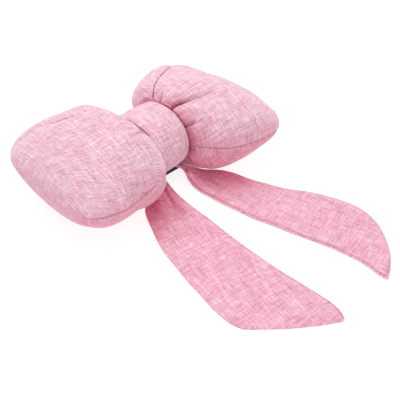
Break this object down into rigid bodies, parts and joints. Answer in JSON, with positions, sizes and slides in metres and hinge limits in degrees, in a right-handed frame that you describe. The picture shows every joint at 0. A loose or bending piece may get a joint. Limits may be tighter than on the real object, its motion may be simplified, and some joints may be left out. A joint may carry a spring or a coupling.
{
  "type": "bow-shaped car neck pillow",
  "caption": "Bow-shaped neck pillow of heathered cloth: filled lobes drawn in under a knot band, flared sash tails and an elastic strap across the back.",
  "frame": {"origin": "middle of the bounding box, on the surface that the bow lies on", "axes": "+X from the left lobe to the right lobe, +Y to the top of the bow, away from the tails, +Z out of its face"},
  "size_m": [0.2988, 0.4132, 0.1124],
  "materials": {
    "pink_linen": "matt heathered plain weave",
    "black_elastic": "matt woven elastic"
  },
  "bodies": {
    "root": {"pillow_body": "pink_linen", "knot_band": "pink_linen", "tail_left": "pink_linen", "tail_right": "pink_linen", "headrest_strap": "black_elastic"}
  },
  "joints": []
}
